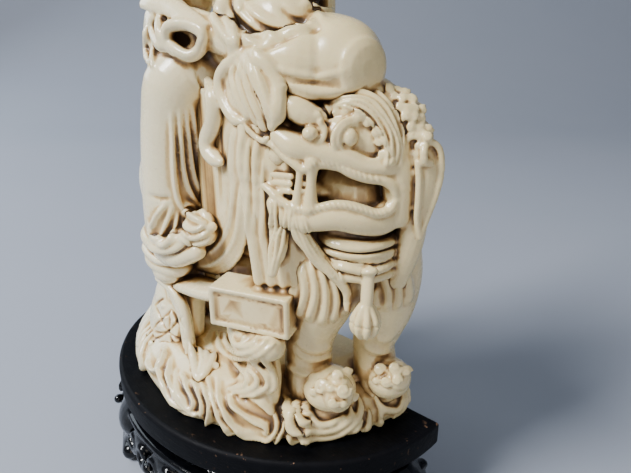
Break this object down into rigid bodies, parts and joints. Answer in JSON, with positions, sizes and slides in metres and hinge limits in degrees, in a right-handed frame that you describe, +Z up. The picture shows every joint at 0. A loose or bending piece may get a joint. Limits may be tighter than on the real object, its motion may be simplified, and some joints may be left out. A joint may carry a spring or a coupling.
{
  "type": "goddess figure",
  "caption": "Goddess seated in royal ease on a guardian lion above a cloud base, cast as one body, on a D-shaped carved wooden stand with a flat back.",
  "frame": {"origin": "middle of the object's bounding box at the underside of the stand's feet", "axes": "+Z up; the goddess and the lion's face look towards -Y; the lion's chest is at +X; the stand's flat back is at +Y"},
  "size_m": [0.1384, 0.0564, 0.2339],
  "materials": {
    "figure": "ivory-coloured cast resin, satin, with amber-brown patina in the recesses",
    "stand_top": "matte black paint on wood, small chips along the upper edge",
    "stand_apron": "gloss black lacquer on carved wood"
  },
  "bodies": {
    "root": {"figure": "figure", "stand_top": "stand_top", "stand_apron": "stand_apron"}
  },
  "joints": []
}
